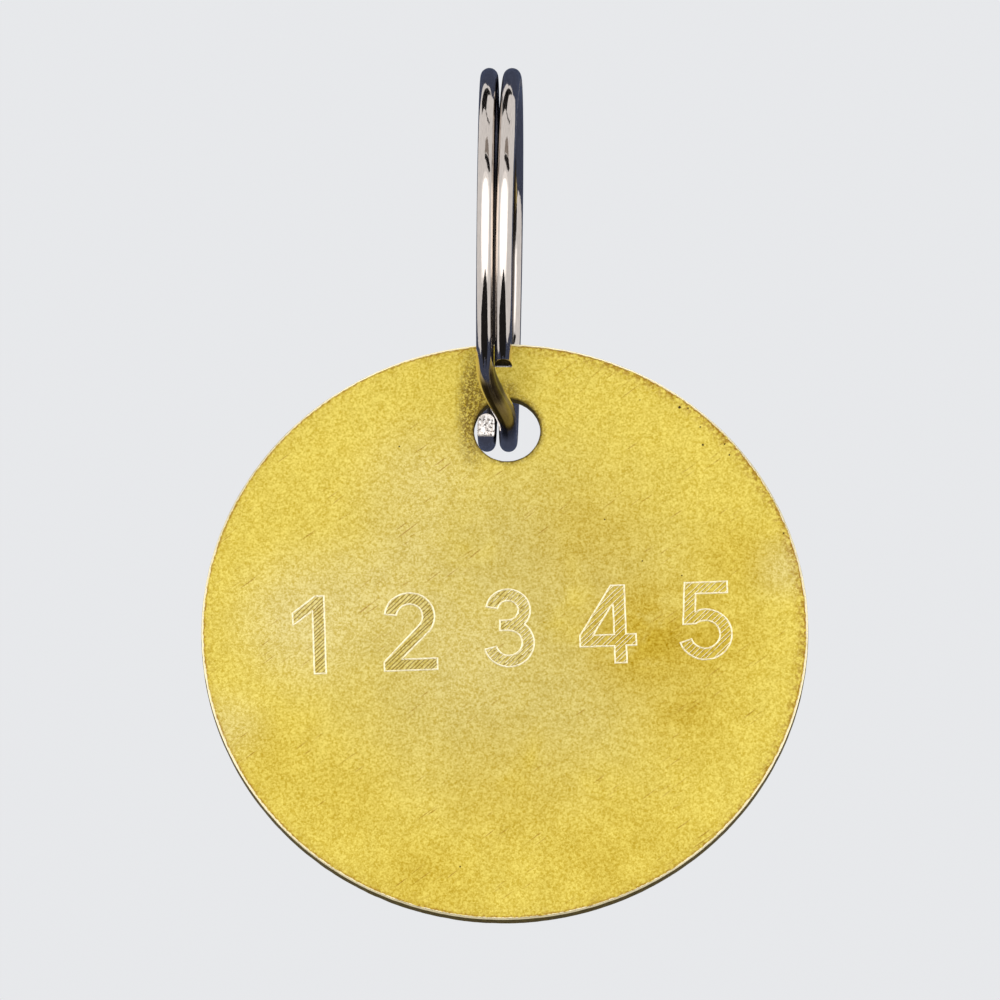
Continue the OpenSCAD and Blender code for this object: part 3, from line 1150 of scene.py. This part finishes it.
def row_card(name, rows, material):
    """A card whose rows each span two azimuths at one elevation."""
    places = [(left + (right - left) * i / CARD_COLUMNS, el)
              for el, left, right in rows for i in range(CARD_COLUMNS + 1)]
    width = CARD_COLUMNS + 1
    faces = [(j * width + i, j * width + i + 1, (j + 1) * width + i + 1, (j + 1) * width + i)
             for j in range(len(rows) - 1) for i in range(CARD_COLUMNS)]
    add_card(name, places, faces, material)


def outline_card(name, outline, material):
    add_card(name, outline, [tuple(range(len(outline)))], material)


def soft_box(name, az, el, distance, wide_deg, high_deg, radiance, only=None, shape="RECTANGLE"):
    """A lamp that looks this wide and high from the ring, and shines evenly, on one piece or all."""
    lamp = bpy.data.lights.new(name, "AREA")
    lamp.shape = shape
    lamp.size = 2 * distance * math.tan(math.radians(wide_deg / 2))
    lamp.size_y = 2 * distance * math.tan(math.radians(high_deg / 2))
    area = lamp.size * lamp.size_y * (math.pi / 4 if shape == "ELLIPSE" else 1)
    lamp.energy = radiance * math.pi * area
    box = link(name, lamp)
    box.location = RING_CENTRE + distance * direction(az, el)
    box.rotation_euler = direction(az, el).to_track_quat("Z", "Y").to_euler()
    box.visible_camera = False
    if only:
        lit = bpy.data.collections.new(name + "_lights")
        lit.objects.link(only)
        box.light_linking.receiver_collection = lit


def build_stage(disc, wire):
    build_floor()
    build_world()
    cloth = plain_material("dark_cloth", CLOTH_COLOUR)
    black = plain_material("black_card", BLACK_COLOUR)
    row_card("card_behind", BEHIND_ROWS, cloth)
    row_card("card_under", UNDER_ROWS, cloth)
    row_card("card_below", BELOW_ROWS, black)
    outline_card("card_over", OVER_OUTLINE, black)
    outline_card("card_strip", STRIP_OUTLINE, black)
    outline_card("card_thread", THREAD_OUTLINE, black)
    outline_card("card_dim", DIM_OUTLINE, plain_material("dim_card", DIM_COLOUR))
    soft_box("front_box", *FRONT_BOX)
    soft_box("front_edge", *FRONT_EDGE)
    soft_box("ring_glint", *RING_GLINT, only=wire, shape="ELLIPSE")
    for name, az, el, wide_deg, high_deg, radiance in DISC_BOXES:
        soft_box(name, az, el, DISC_BOX_DISTANCE, wide_deg, high_deg, radiance, only=disc)


# Camera

def build_camera():
    to_camera = direction(VIEW_AZ_DEG, VIEW_EL_DEG)
    right = Vector((0, 0, 1)).cross(to_camera).normalized()
    up = to_camera.cross(right)
    roll = math.radians(VIEW_ROLL_DEG)
    right, up = right * math.cos(roll) + up * math.sin(roll), up * math.cos(roll) - right * math.sin(roll)
    face_centre = Vector((DISC_X, disc_low.y, DISC_Z))
    off_x = (FACE_CENTRE_PX[0] - IMAGE_PX / 2) / PX_PER_M
    off_y = (IMAGE_PX / 2 - FACE_CENTRE_PX[1]) / PX_PER_M
    place = face_centre + to_camera * VIEW_DISTANCE - right * off_x - up * off_y
    data = bpy.data.cameras.new("camera")
    data.sensor_width = SENSOR
    data.lens = SENSOR * PX_PER_M * VIEW_DISTANCE / IMAGE_PX
    data.clip_start = VIEW_DISTANCE / 10
    data.clip_end = VIEW_DISTANCE * 10
    camera = link("camera", data)
    turned = Matrix((right, up, to_camera)).transposed().to_4x4()
    camera.matrix_world = Matrix.Translation(place) @ turned
    bpy.context.scene.camera = camera


build_camera()
disc_sheet = build_disc()
ring_wire = build_ring()
build_stage(disc_sheet, ring_wire)
bpy.context.scene.view_settings.view_transform = "Standard"
